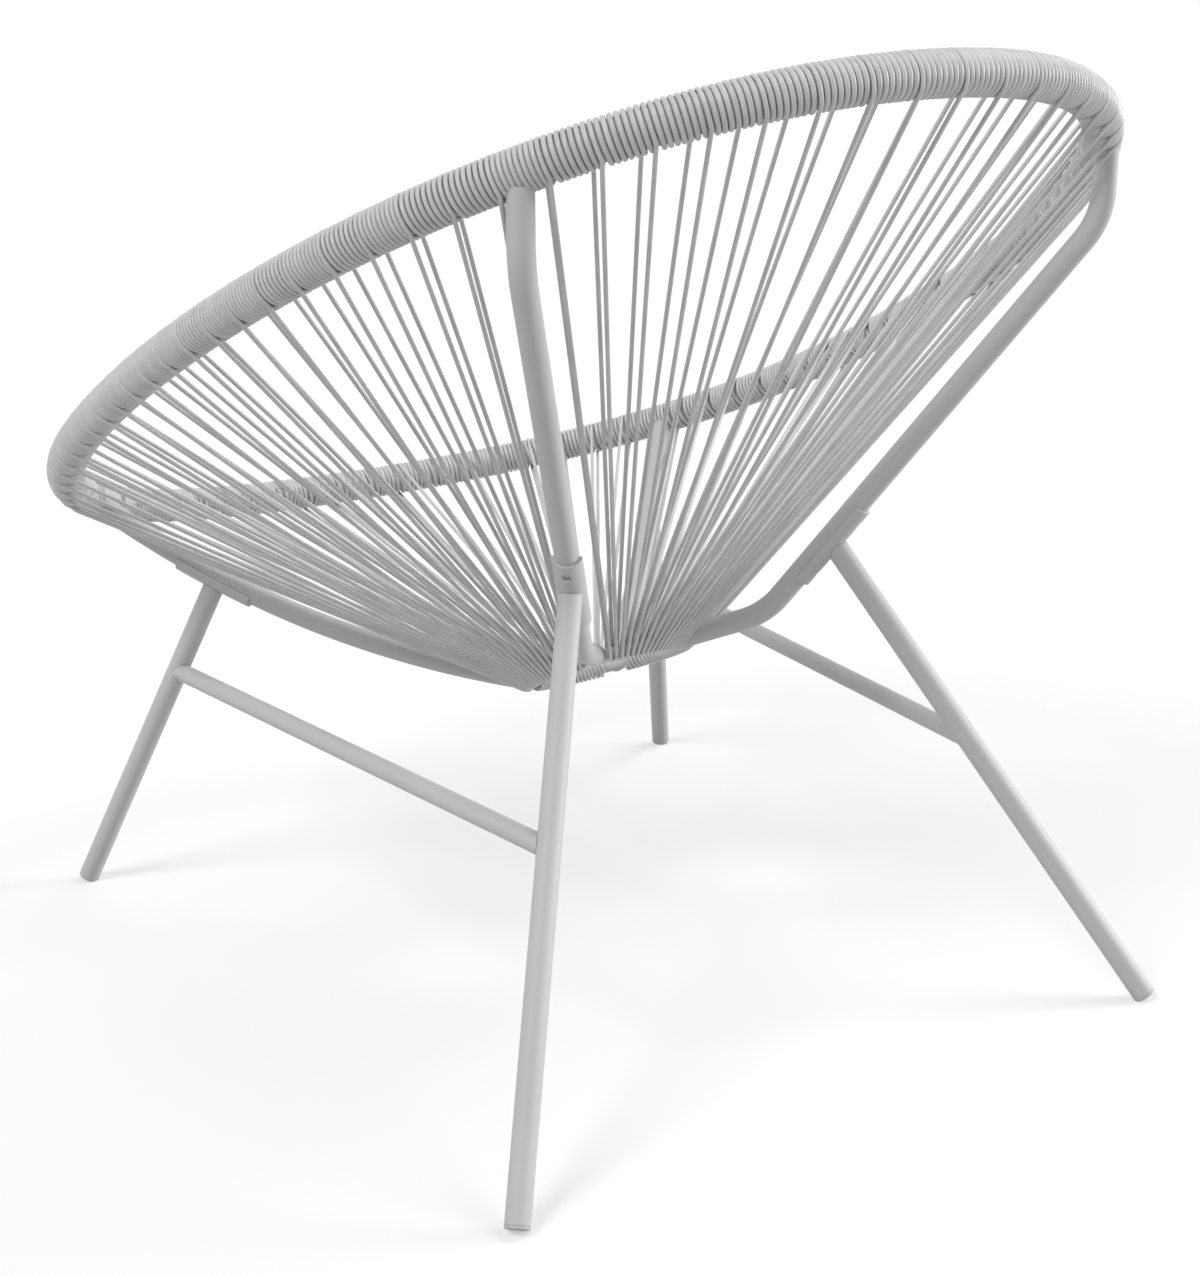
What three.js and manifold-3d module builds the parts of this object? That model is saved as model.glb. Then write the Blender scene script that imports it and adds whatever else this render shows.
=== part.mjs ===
// A round string garden chair: an oval rim wound with round cord, a small base ring, and pairs of
// cords laced between them, on four bent seat tubes, four splayed legs and two side stretchers.
// Millimetres, +Z up, +Y to the back. The sitter faces -Y, so the sitter's left is +X. The origin
// is on the floor, under the middle of the chair's overall width and depth.
import * as THREE from "three";
import { mergeVertices } from "three/addons/utils/BufferGeometryUtils.js";
import Module from "manifold-3d";

const wasm = await Module();
wasm.setup();

const degrees = THREE.MathUtils.degToRad;
const fullTurn = 2 * Math.PI;
const up = new THREE.Vector3(0, 0, 1);
const right = new THREE.Vector3(1, 0, 0);

// Driving dimensions.
const clearance = 0.3; // between two pieces that touch
const overrun = 3; // how far a cut runs past what it cuts
const weld = 1e-4; // points nearer than this are one
const nearby = 1; // the stretch on each side of a place that gives its direction

// The rim's centre line is a slightly square, slightly egg-shaped oval on a tilted plane.
const rim = {
  halfWidth: 405,
  halfLength: 505.85,
  tilt: degrees(26.756),
  middleBack: 5.17,
  middleUp: 535.7,
  archLift: 11.3, // front and back stand this far above the tilted plane
  archSkew: -9.8,
  eggShare: -0.072,
  squareShare: 0.108,
  tubeRadius: 12.7,
  tubeSides: 8,
  pairsPerChord: 2, // the rim is made of chords, so that tube, winding and cords agree
};

const cord = {
  width: 3,
  height: 2.9,
  slack: 0.45, // kept between the cord and what it passes over
};

// The cord that is wound on the rim tube between the lacing, in barrels that dip at each pair.
const winding = {
  bottomRadius: 13.9,
  crownRadius: 16.4,
  count: 11,
};

const lacing = {
  pairs: 88,
  centreAlong: 8.1, // the pairs are evenly spaced about a point this far up the rim's plane
  rimStep: 2.4, // what a pair keeps from a seat tube at the rim
  ringStep: 1.9, // and at the base ring
  wrapShares: [0, 1 / 3, 2 / 3, 1], // the cord's way round the base ring, in equal steps
  rimSteps: 4, // and over the rim
  dipShare: 1 / 8, // of the winding's depth, left under a loop
  mostPairs: 9, // laced by one cord
};

const baseRing = { radius: 72, rodRadius: 5, back: 54.1, up: 265, rodSides: 8, sides: 40 };

const seatTube = { radius: 9.4, sides: 12, notchSides: 8, bendStep: degrees(11) };
const backTube = {
  planAngle: degrees(48),
  kneeReach: 139.2,
  kneeUp: 318.6,
  shoulderUp: 655.1,
  kneeBend: 70,
  shoulderBend: 63,
  outset: 4.4, // the upright stands this far outside the rim's centre line
  endDrop: 9, // its top ends this far below that centre line
  saddleReach: 190,
  saddleLength: 80,
  legLead: 1.7, // the leg points at the tube a little above the saddle's middle
  ringLift: 1.5,
};
const frontTube = {
  planAngle: degrees(-48.56),
  startSlopeShare: 0.0727,
  endSlopeShare: 0.643,
  endDrop: 0,
  saddleReach: 361,
  saddleLength: 74,
  legLead: 0,
  ringLift: 2.6,
  steps: 12,
};

const saddle = { wall: 2.6, steps: 4, arcSteps: 8 };
const screw = {
  headRadius: 3.9,
  shankRadius: 2.2,
  length: 11,
  headDepth: 2,
  socketRadius: 1.6,
  socketDepth: 1.6,
  offset: 27, // from the saddle's middle, along the seat tube
  sides: 12,
};

const leg = {
  radius: 9.5,
  wall: 1.5,
  boreDepth: 36,
  sides: 16,
  frontFoot: [340.1, -335.2],
  backFoot: [316.6, 412],
};
const stretcher = { radius: 8.1, height: 222, sides: 12 };
const plug = { headHeight: 2.5, chamfer: 1, stemLength: 24, floorFlat: 1.2, sides: 16, fit: 0.35 };

// Solids and skins.
function solidOf(geometry) {
  const bare = geometry.clone();
  bare.deleteAttribute("normal");
  bare.deleteAttribute("uv");
  const merged = mergeVertices(bare, weld);
  return new wasm.Manifold(
    new wasm.Mesh({
      numProp: 3,
      vertProperties: new Float32Array(merged.attributes.position.array),
      triVerts: new Uint32Array(merged.index.array),
    }),
  );
}

function geometryOf(solid) {
  const { vertProperties, triVerts } = solid.getMesh();
  const geometry = new THREE.BufferGeometry();
  geometry.setAttribute("position", new THREE.BufferAttribute(vertProperties, 3));
  geometry.setIndex(new THREE.BufferAttribute(triVerts, 1));
  return geometry;
}

function skin(points, index) {
  const geometry = new THREE.BufferGeometry();
  geometry.setAttribute("position", new THREE.Float32BufferAttribute(points.flatMap((p) => p.toArray()), 3));
  geometry.setIndex(index);
  return geometry;
}

// The faces between ring a and ring b of a skin, whose points start at those places in its list.
function band(a, b, sides) {
  const faces = [];
  for (let s = 0; s < sides; s++) {
    const next = (s + 1) % sides;
    faces.push(a + s, a + next, b + next, a + s, b + next, b + s);
  }
  return faces;
}

// A frame is a point with two directions; x cross y is the way ahead.
function ringOf(frame, section) {
  return section.map((v) => frame.point.clone().addScaledVector(frame.x, v.x).addScaledVector(frame.y, v.y));
}

// Sweeps a flat outline through a row of frames, and closes it at both ends.
function sweep(frames, section) {
  const sides = section.length;
  const points = frames.flatMap((frame) => ringOf(frame, section));
  const index = [];
  for (let f = 1; f < frames.length; f++) index.push(...band((f - 1) * sides, f * sides, sides));
  const last = (frames.length - 1) * sides;
  for (const [a, b, c] of THREE.ShapeUtils.triangulateShape(section, [])) {
    index.push(c, b, a, last + a, last + b, last + c);
  }
  return skin(points, index);
}

function circle(radius, sides) {
  return Array.from({ length: sides }, (_, s) => {
    const angle = (s * fullTurn) / sides;
    return new THREE.Vector2(radius * Math.cos(angle), radius * Math.sin(angle));
  });
}

// Frames square to a straight axis, each a given distance from its start.
function straightFrames(start, ahead, distances) {
  const x = new THREE.Vector3().crossVectors(ahead, up).normalize();
  const y = new THREE.Vector3().crossVectors(ahead, x);
  return distances.map((d) => ({ point: start.clone().addScaledVector(ahead, d), x, y }));
}

function turned(profile, sides, place) {
  const outline = profile.map(([r, h]) => new THREE.Vector2(r, h));
  return new THREE.LatheGeometry(outline, sides).rotateX(Math.PI / 2).applyMatrix4(place);
}

// A placing matrix whose Z runs along a direction.
function placing(point, ahead) {
  const spin = new THREE.Quaternion().setFromUnitVectors(up, ahead);
  return new THREE.Matrix4().compose(point, spin, new THREE.Vector3(1, 1, 1));
}

// The rim.
const rimAlong = new THREE.Vector3(0, Math.cos(rim.tilt), Math.sin(rim.tilt));
const rimNormal = new THREE.Vector3(0, -Math.sin(rim.tilt), Math.cos(rim.tilt));

function rimPlace(t) {
  const power = 2 / (2 + rim.squareShare);
  const rounded = (value) => Math.sign(value) * Math.abs(value) ** power;
  const across = rim.halfWidth * rounded(Math.cos(t)) * (1 + rim.eggShare * Math.sin(t));
  const along = rim.halfLength * rounded(Math.sin(t));
  const share = along / rim.halfLength;
  const lift = rim.archLift * share ** 2 + rim.archSkew * (share ** 3 - share);
  return { across, along, lift };
}

function rimPoint(t) {
  const { across, along, lift } = rimPlace(t);
  return new THREE.Vector3(across, rim.middleBack, rim.middleUp)
    .addScaledVector(rimAlong, along)
    .addScaledVector(rimNormal, lift);
}

// Finds the curve's t where an angle, measured by angleOf, is the wanted one.
const solveRounds = 60;
const solveShare = 0.7;
function solveTurn(wanted, angleOf) {
  let t = wanted;
  for (let i = 0; i < solveRounds; i++) {
    const miss = wanted - angleOf(t);
    t += solveShare * Math.atan2(Math.sin(miss), Math.cos(miss));
  }
  return t;
}

function pairAngle(t) {
  const { across, along } = rimPlace(t);
  return Math.atan2(along - lacing.centreAlong, across);
}

const pairStep = fullTurn / lacing.pairs;
const turnOfStation = (station) => Math.PI / 2 + station * pairStep;

// The base ring lies square to the same tilted plane.
const ringCentre = new THREE.Vector3(0, baseRing.back, baseRing.up);
const ringBulge = (angle) =>
  right.clone().multiplyScalar(Math.cos(angle)).addScaledVector(rimAlong, Math.sin(angle));
const ringPoint = (angle) => ringCentre.clone().addScaledVector(ringBulge(angle), baseRing.radius);

// The rim's corners, each half a step before its chord's first pair.
const chordCount = lacing.pairs / rim.pairsPerChord;
const cornerPoints = Array.from({ length: chordCount }, (_, i) => {
  const angle = turnOfStation(i * rim.pairsPerChord - 1 / 2);
  return { angle, point: rimPoint(solveTurn(angle, pairAngle)) };
});
const cornerFrames = cornerPoints.map(({ angle, point }, i) => {
  const before = cornerPoints.at(i - 1).point;
  const after = cornerPoints[(i + 1) % chordCount].point;
  const ahead = after.clone().sub(before).normalize();
  const away = point.clone().sub(ringPoint(angle));
  away.addScaledVector(ahead, -away.dot(ahead)).normalize();
  return { point, x: away, y: new THREE.Vector3().crossVectors(ahead, away) };
});

// A frame anywhere on the rim: x points away from the base ring, y to the outside and below.
function rimFrame(station) {
  const place = (station + 1 / 2) / rim.pairsPerChord;
  const from = Math.floor(place);
  const share = place - from;
  const a = cornerFrames[((from % chordCount) + chordCount) % chordCount];
  const b = cornerFrames[(((from + 1) % chordCount) + chordCount) % chordCount];
  const mix = (key) => a[key].clone().lerp(b[key], share);
  return { point: mix("point"), x: mix("x").normalize(), y: mix("y").normalize() };
}

// The rim's length per station.
const stationLength = (station) =>
  rimFrame(station + 1 / 4).point.distanceTo(rimFrame(station - 1 / 4).point) * 2;

function closedRim(radius) {
  const section = circle(radius, rim.tubeSides);
  const points = cornerFrames.flatMap((frame) => ringOf(frame, section));
  const index = cornerFrames.flatMap((_, i) =>
    band(i * rim.tubeSides, ((i + 1) % chordCount) * rim.tubeSides, rim.tubeSides),
  );
  return skin(points, index);
}

// A seat tube runs in an upright plane through the base ring's middle.
const hub = new THREE.Vector3(0, baseRing.back, 0);
const planDirection = (angle, side) => new THREE.Vector3(side * Math.cos(angle), Math.sin(angle), 0);

// Where that plane crosses the base ring and the rim.
function crossings(planAngle) {
  const ringAngle = Math.atan2(Math.sin(planAngle) / Math.cos(rim.tilt), Math.cos(planAngle));
  const onRing = ringPoint(ringAngle);
  const t = solveTurn(planAngle, (turn) => {
    const p = rimPoint(turn).sub(hub);
    return Math.atan2(p.y, p.x);
  });
  const onRim = rimPoint(t);
  const reachOf = (p) => Math.hypot(p.x - hub.x, p.y - hub.y);
  return { ringAngle, onRing, onRim, ringReach: reachOf(onRing), rimReach: reachOf(onRim) };
}

// Rounds the corners of a path of straight runs, in the plane of reach and height.
function roundedPath(corners, bends) {
  const path = [corners[0]];
  bends.forEach((bend, i) => {
    const [before, corner, after] = corners.slice(i, i + 3);
    const inward = corner.clone().sub(before).normalize();
    const outward = after.clone().sub(corner).normalize();
    const turn = Math.atan2(inward.cross(outward), inward.dot(outward));
    const cut = bend * Math.tan(Math.abs(turn) / 2);
    const start = corner.clone().addScaledVector(inward, -cut);
    const inside = new THREE.Vector2(-inward.y, inward.x).multiplyScalar(Math.sign(turn) * bend);
    const centre = start.clone().add(inside);
    const steps = Math.ceil(Math.abs(turn) / seatTube.bendStep);
    for (let s = 0; s <= steps; s++) path.push(start.clone().rotateAround(centre, (turn * s) / steps));
  });
  return [...path, corners.at(-1)];
}

const backCross = crossings(backTube.planAngle);
const backReach = backCross.rimReach + backTube.outset;
const backPath = roundedPath(
  [
    new THREE.Vector2(backCross.ringReach, backCross.onRing.z + backTube.ringLift),
    new THREE.Vector2(backTube.kneeReach, backTube.kneeUp),
    new THREE.Vector2(backReach, backTube.shoulderUp),
    new THREE.Vector2(backReach, backCross.onRim.z - backTube.endDrop),
  ],
  [backTube.kneeBend, backTube.shoulderBend],
);

const frontCross = crossings(frontTube.planAngle);
const frontPath = (() => {
  const start = new THREE.Vector2(frontCross.ringReach, frontCross.onRing.z + frontTube.ringLift);
  const end = new THREE.Vector2(frontCross.rimReach, frontCross.onRim.z - frontTube.endDrop);
  const third = (end.x - start.x) / 3;
  const leaving = new THREE.Vector2(third, third * frontTube.startSlopeShare).add(start);
  const arriving = end.clone().sub(new THREE.Vector2(third, third * frontTube.endSlopeShare));
  return new THREE.CubicBezierCurve(start, leaving, arriving, end).getPoints(frontTube.steps);
})();

// Frames along such a path. x and y lie square to it, with y on its upper side.
function planeFrames(path, direction) {
  return path.map((p, i) => {
    const before = path[Math.max(i - 1, 0)];
    const after = path[Math.min(i + 1, path.length - 1)];
    const slope = after.clone().sub(before).normalize();
    const ahead = direction.clone().multiplyScalar(slope.x).addScaledVector(up, slope.y);
    const y = direction.clone().multiplyScalar(-slope.y).addScaledVector(up, slope.x);
    const point = hub.clone().addScaledVector(direction, p.x).addScaledVector(up, p.y);
    return { point, ahead, x: new THREE.Vector3().crossVectors(y, ahead), y };
  });
}

// The stretch of a path from one length along it to another, in equal steps.
function stretch(path, from, to, steps) {
  const lengths = [0];
  path.slice(1).forEach((p, i) => lengths.push(lengths[i] + p.distanceTo(path[i])));
  const at = (length) => {
    const i = Math.max(1, lengths.findIndex((total) => total >= length));
    const share = (length - lengths[i - 1]) / (lengths[i] - lengths[i - 1]);
    return path[i - 1].clone().lerp(path[i], share);
  };
  return Array.from({ length: steps + 1 }, (_, s) => at(from + ((to - from) * s) / steps));
}

function lengthAtReach(path, reach) {
  let total = 0;
  for (let i = 1; i < path.length; i++) {
    const step = path[i].distanceTo(path[i - 1]);
    if (path[i].x >= reach) return total + (step * (reach - path[i - 1].x)) / (path[i].x - path[i - 1].x);
    total += step;
  }
  return total;
}

function frameAt(path, length, direction) {
  return planeFrames(stretch(path, length - nearby, length + nearby, 2), direction)[1];
}

const corners = [
  { name: "back_left", side: 1, path: backPath, cross: backCross, foot: leg.backFoot, tube: backTube },
  { name: "back_right", side: -1, path: backPath, cross: backCross, foot: leg.backFoot, tube: backTube },
  { name: "front_left", side: 1, path: frontPath, cross: frontCross, foot: leg.frontFoot, tube: frontTube },
  { name: "front_right", side: -1, path: frontPath, cross: frontCross, foot: leg.frontFoot, tube: frontTube },
].map((corner) => {
  const direction = planDirection(corner.tube.planAngle, corner.side);
  const saddleMiddle = lengthAtReach(corner.path, corner.tube.saddleReach);
  const legEnd = lengthAtReach(corner.path, corner.tube.saddleReach + corner.tube.legLead);
  const footPoint = new THREE.Vector3(corner.side * corner.foot[0], corner.foot[1], 0);
  const legAhead = frameAt(corner.path, legEnd, direction).point.clone().sub(footPoint);
  const legLength = legAhead.length();
  legAhead.normalize();
  const ringAngle = corner.side > 0 ? corner.cross.ringAngle : Math.PI - corner.cross.ringAngle;
  return { ...corner, direction, saddleMiddle, footPoint, legAhead, legLength, ringAngle };
});

// The lacing. Where a pair would meet a seat tube, it moves along the rim to clear it.
const stationStep = 1 / 16;
function stationOfPoint(point) {
  let best = 0;
  let least = Infinity;
  for (let station = 0; station < lacing.pairs; station += stationStep) {
    const distance = rimFrame(station).point.distanceTo(point);
    if (distance < least) [best, least] = [station, distance];
  }
  return best;
}

const tubeStations = corners
  .map((corner) => {
    const end = planeFrames(corner.path, corner.direction).at(-1).point;
    return { station: stationOfPoint(end), ringAngle: corner.ringAngle };
  })
  .sort((a, b) => a.station - b.station);
const tubeRoom = seatTube.radius + cord.width / 2;

// The stations count round from the back, so half of them is the front: pairs move off towards the back.
function clearedStation(station) {
  for (const { station: tube } of tubeStations) {
    const room = (tubeRoom + lacing.rimStep) / stationLength(tube);
    const backwards = Math.sign(tube - lacing.pairs / 2);
    if (Math.abs(station - tube) < room) return tube + backwards * room;
  }
  return station;
}
const cleared = Array.from({ length: lacing.pairs }, (_, k) => clearedStation(k));

// Between two seat tubes the pairs share the base ring evenly, clear of the tubes' ends.
const stationsOn = (from, place) => (place - from + lacing.pairs) % lacing.pairs;
const runs = tubeStations.map(({ station, ringAngle }, i) => {
  const next = tubeStations[(i + 1) % tubeStations.length];
  const here = cleared
    .filter((place) => stationsOn(station, place) < stationsOn(station, next.station))
    .sort((a, b) => stationsOn(station, a) - stationsOn(station, b));
  let span = next.ringAngle - ringAngle;
  while (span < 0) span += fullTurn;
  const room = (tubeRoom + lacing.ringStep) / baseRing.radius;
  const pitch = (span - 2 * room) / (here.length - 1);
  return here.map((rimStation, k) => ({ rimStation, ringAngle: ringAngle + room + k * pitch, pitch }));
});

// One pair's loops: over the rim from inside to outside, and round the base ring from the outer
// cord to the next pair's inner cord. Each place holds a point and the direction out of the loop.
const rimTurns = Array.from(
  { length: lacing.rimSteps + 1 },
  (_, n) => (n / lacing.rimSteps - 1 / 2) * Math.PI,
);
const windingDepth = winding.crownRadius - winding.bottomRadius;
const rimLoopRadius = winding.bottomRadius + cord.slack + windingDepth * lacing.dipShare;
const wrapStepShare = 1 / (lacing.wrapShares.length - 1);
const wrapRadius = (baseRing.rodRadius + cord.slack) / Math.cos((Math.PI * wrapStepShare) / 2);

function overRim({ rimStation }) {
  const { point, x, y } = rimFrame(rimStation);
  return rimTurns.map((turn) => {
    const out = x.clone().multiplyScalar(Math.cos(turn)).addScaledVector(y, Math.sin(turn));
    return { point: point.clone().addScaledVector(out, rimLoopRadius), out };
  });
}

function roundRing(pair, shares, startAngle) {
  return shares.map((share) => {
    const angle = startAngle + share * pair.pitch;
    const centre = ringPoint(angle);
    const ahead = ringBulge(angle + Math.PI / 2);
    const away = centre.clone().sub(rimFrame(pair.rimStation).point);
    away.addScaledVector(ahead, -away.dot(ahead)).normalize();
    const outer = new THREE.Vector3().crossVectors(away, ahead);
    const turn = Math.PI / 2 - Math.PI * share;
    const out = away.multiplyScalar(Math.cos(turn)).addScaledVector(outer, Math.sin(turn));
    return { point: centre.addScaledVector(out, wrapRadius), out };
  });
}

function lacingPath(pairs) {
  const half = lacing.wrapShares.length / 2;
  return pairs.flatMap((pair, i) => {
    const start = i ? [] : roundRing(pair, lacing.wrapShares.slice(half), pair.ringAngle - pair.pitch);
    const atEnd = i === pairs.length - 1;
    const shares = atEnd ? lacing.wrapShares.slice(0, half) : lacing.wrapShares;
    return [...start, ...overRim(pair), ...roundRing(pair, shares, pair.ringAngle)];
  });
}

// A three-sided cord: its flat lies on what it passes over, and its ridge points out of the loop.
const cordSection = [
  new THREE.Vector2(-cord.width / 2, 0),
  new THREE.Vector2(cord.width / 2, 0),
  new THREE.Vector2(0, cord.height),
];

function cordFrames(path) {
  return path.map(({ point, out }, i) => {
    const before = path[Math.max(i - 1, 0)].point;
    const after = path[Math.min(i + 1, path.length - 1)].point;
    const inward = point.clone().sub(before).normalize();
    const outward = after.clone().sub(point).normalize();
    const ahead = inward.add(outward).normalize();
    const x = new THREE.Vector3().crossVectors(out, ahead).normalize();
    return { point, x, y: new THREE.Vector3().crossVectors(ahead, x) };
  });
}

// The least distance between two straight pieces of cord.
function pieceDistance(a, b, c, d) {
  const ab = b.clone().sub(a);
  const cd = d.clone().sub(c);
  const ac = a.clone().sub(c);
  const [aa, cc, mixed] = [ab.dot(ab), cd.dot(cd), ab.dot(cd)];
  const [alongA, alongC] = [ab.dot(ac), cd.dot(ac)];
  const spread = aa * cc - mixed * mixed;
  const clamp = (value) => THREE.MathUtils.clamp(value, 0, 1);
  let s = spread > 1e-9 ? clamp((mixed * alongC - cc * alongA) / spread) : 0;
  const u = clamp((mixed * s + alongC) / cc);
  s = clamp((mixed * u - alongA) / aa);
  return a.clone().addScaledVector(ab, s).distanceTo(c.clone().addScaledVector(cd, u));
}

function leastGap(path) {
  let least = Infinity;
  for (let i = 1; i < path.length; i++) {
    for (let j = i + 2; j < path.length; j++) {
      const [a, b, c, d] = [path[i - 1], path[i], path[j - 1], path[j]].map(({ point }) => point);
      least = Math.min(least, pieceDistance(a, b, c, d));
    }
  }
  return least - cord.width;
}

// The pairs between two seat tubes are laced by two or three cords.
const cordRuns = runs.flatMap((run) => {
  const cords = Math.ceil(run.length / lacing.mostPairs);
  const starts = Array.from({ length: cords + 1 }, (_, i) => Math.round((i * run.length) / cords));
  return starts.slice(1).map((end, i) => run.slice(starts[i], end));
});

// A barrel of winding: its skin dips to each pair's loop, and its bore follows the rim tube.
const crown = circle(winding.crownRadius, rim.tubeSides);
const dip = circle(winding.bottomRadius, rim.tubeSides);
const bore = circle(rim.tubeRadius + clearance / Math.cos(Math.PI / rim.tubeSides), rim.tubeSides);
const pairsPerBarrel = lacing.pairs / winding.count;

function barrel(number) {
  const gap = clearance / 2 / stationLength(number * pairsPerBarrel);
  const start = number * pairsPerBarrel - 1 / 2 + gap;
  const end = (number + 1) * pairsPerBarrel - 1 / 2 - gap;
  const dips = cleared.slice(number * pairsPerBarrel, (number + 1) * pairsPerBarrel);
  const outer = dips.flatMap((station, i) => {
    const before = i ? (dips[i - 1] + station) / 2 : start;
    return [ringOf(rimFrame(before), crown), ringOf(rimFrame(station), dip)];
  });
  outer.push(ringOf(rimFrame(end), crown));
  const boreStations = [start];
  for (let k = rim.pairsPerChord; k < pairsPerBarrel; k += rim.pairsPerChord) {
    boreStations.push(number * pairsPerBarrel - 1 / 2 + k);
  }
  boreStations.push(end);
  const inner = boreStations.map((station) => ringOf(rimFrame(station), bore));
  const sides = rim.tubeSides;
  const innerStart = outer.length * sides;
  const index = [];
  for (let r = 1; r < outer.length; r++) index.push(...band((r - 1) * sides, r * sides, sides));
  for (let r = 1; r < inner.length; r++) {
    index.push(...band(innerStart + r * sides, innerStart + (r - 1) * sides, sides));
  }
  index.push(...band(innerStart, 0, sides));
  index.push(...band((outer.length - 1) * sides, innerStart + (inner.length - 1) * sides, sides));
  return skin([...outer, ...inner].flat(), index);
}

// Materials.
const powderCoat = new THREE.MeshStandardMaterial({ color: 0xb9bbbc, roughness: 0.45, metalness: 0.1 });
const cordPlastic = new THREE.MeshStandardMaterial({ color: 0xb4b6b7, roughness: 0.5, metalness: 0 });
const plugPlastic = new THREE.MeshStandardMaterial({ color: 0xa9abac, roughness: 0.6, metalness: 0 });
const zinc = new THREE.MeshStandardMaterial({ color: 0x8e9193, roughness: 0.35, metalness: 0.9 });

const chair = new THREE.Group();
function add(name, geometry, material) {
  const mesh = new THREE.Mesh(geometry, material);
  mesh.name = name;
  chair.add(mesh);
}

add("rim_tube", closedRim(rim.tubeRadius), powderCoat);

const tiltedRing = (rodRadius) =>
  new THREE.TorusGeometry(baseRing.radius, rodRadius, baseRing.rodSides, baseRing.sides)
    .rotateX(rim.tilt)
    .translate(ringCentre.x, ringCentre.y, ringCentre.z);
add("base_ring", tiltedRing(baseRing.rodRadius), powderCoat);

// Seat tubes, coped to the rim tube and the base ring and bored for the saddles' screws.
const rimCut = solidOf(closedRim(rim.tubeRadius + clearance / Math.cos(Math.PI / rim.tubeSides)));
const ringCut = solidOf(tiltedRing(baseRing.rodRadius + clearance));
const tubeSection = circle(seatTube.radius, seatTube.sides);
const notchRadius = (seatTube.radius + clearance) / Math.cos(Math.PI / seatTube.notchSides);
const notchSection = circle(notchRadius, seatTube.notchSides);
const saddleOuter = seatTube.radius + clearance + saddle.wall;
const notches = [];

function screwPlaces(corner) {
  return [screw.offset, -screw.offset].map((offset) => {
    const frame = frameAt(corner.path, corner.saddleMiddle + offset, corner.direction);
    const point = frame.point.clone().addScaledVector(frame.y, -saddleOuter);
    return placing(point, frame.y);
  });
}

const screwBore = [
  [0, -overrun],
  [screw.headRadius + clearance, -overrun],
  [screw.headRadius + clearance, clearance],
  [screw.shankRadius + clearance, screw.headDepth + clearance],
  [screw.shankRadius + clearance, screw.length + clearance],
  [0, screw.length + clearance],
];

function bored(solid, corner) {
  return screwPlaces(corner).reduce(
    (left, place) => left.subtract(solidOf(turned(screwBore, screw.sides, place))),
    solid,
  );
}

for (const corner of corners) {
  const frames = planeFrames(corner.path, corner.direction);
  const tube = bored(solidOf(sweep(frames, tubeSection)).subtract(rimCut).subtract(ringCut), corner);
  add(corner.name + "_seat_tube", geometryOf(tube), powderCoat);
  const end = frames.at(-1);
  const past = { ...end, point: end.point.clone().addScaledVector(end.ahead, clearance) };
  notches.push(solidOf(sweep([...frames.slice(-3, -1), past], notchSection)));
}

// Saddles: half pipes that hug the seat tubes from below and carry the legs.
const arc = (radius, from, to) =>
  Array.from({ length: saddle.arcSteps + 1 }, (_, s) => {
    const angle = from + ((to - from) * s) / saddle.arcSteps;
    return new THREE.Vector2(radius * Math.cos(angle), radius * Math.sin(angle));
  });
const saddleInner = (seatTube.radius + clearance) / Math.cos(Math.PI / seatTube.sides / 2);
const saddleSection = [...arc(saddleOuter, Math.PI, fullTurn), ...arc(saddleInner, fullTurn, Math.PI)];
const saddleCutSection = circle((saddleOuter + clearance) / Math.cos(Math.PI / leg.sides), leg.sides);

for (const corner of corners) {
  const half = corner.tube.saddleLength / 2;
  const reach = stretch(corner.path, corner.saddleMiddle - half, corner.saddleMiddle + half, saddle.steps);
  const frames = planeFrames(reach, corner.direction);
  add(corner.name + "_saddle", geometryOf(bored(solidOf(sweep(frames, saddleSection)), corner)), powderCoat);
  corner.saddleCut = solidOf(sweep(frames, saddleCutSection));
}

// Screws with a countersunk head and a round socket.
const screwProfile = [
  [0, screw.socketDepth],
  [screw.socketRadius, screw.socketDepth],
  [screw.socketRadius, 0],
  [screw.headRadius, 0],
  [screw.shankRadius, screw.headDepth],
  [screw.shankRadius, screw.length],
  [0, screw.length],
];
for (const corner of corners) {
  screwPlaces(corner).forEach((place, i) => {
    add(corner.name + "_screw_" + (i + 1), turned(screwProfile, screw.sides, place), zinc);
  });
}

// Legs: tubes coped to the saddles and bored at the foot for the plugs.
const plugHead = [
  [0, 0],
  [leg.radius - plug.chamfer, 0],
  [leg.radius, plug.chamfer],
  [leg.radius, plug.headHeight],
];
const stemRadius = leg.radius - leg.wall - plug.fit;
const plugProfile = [
  ...plugHead,
  [stemRadius, plug.headHeight],
  [stemRadius, plug.headHeight + plug.stemLength - plug.chamfer],
  [stemRadius - plug.chamfer, plug.headHeight + plug.stemLength],
  [0, plug.headHeight + plug.stemLength],
];
const floorCut = solidOf(
  new THREE.BoxGeometry(4 * leg.radius, 4 * leg.radius, 2 * overrun).translate(0, 0, -overrun),
);

for (const corner of corners) {
  // The plug's lower edge would reach a little below the floor, and is ground flat there.
  const lean = Math.sqrt(1 - corner.legAhead.z ** 2);
  const footHeight = (leg.radius * lean - plug.floorFlat) / corner.legAhead.z;
  const heel = corner.footPoint.clone().addScaledVector(corner.legAhead, footHeight);
  const place = placing(heel, corner.legAhead);
  const ground = solidOf(turned(plugProfile, plug.sides, place)).subtract(
    floorCut.translate(corner.footPoint.toArray()),
  );
  add(corner.name + "_foot_plug", geometryOf(ground), plugPlastic);

  const start = plug.headHeight + clearance;
  const legFrames = straightFrames(heel, corner.legAhead, [start, corner.legLength - footHeight]);
  const boreFrames = straightFrames(heel, corner.legAhead, [start - overrun, start + leg.boreDepth]);
  const body = solidOf(sweep(legFrames, circle(leg.radius, leg.sides)))
    .subtract(solidOf(sweep(boreFrames, circle(leg.radius - leg.wall, leg.sides))))
    .subtract(corner.saddleCut);
  add(corner.name + "_leg", geometryOf(body), powderCoat);
}

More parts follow.
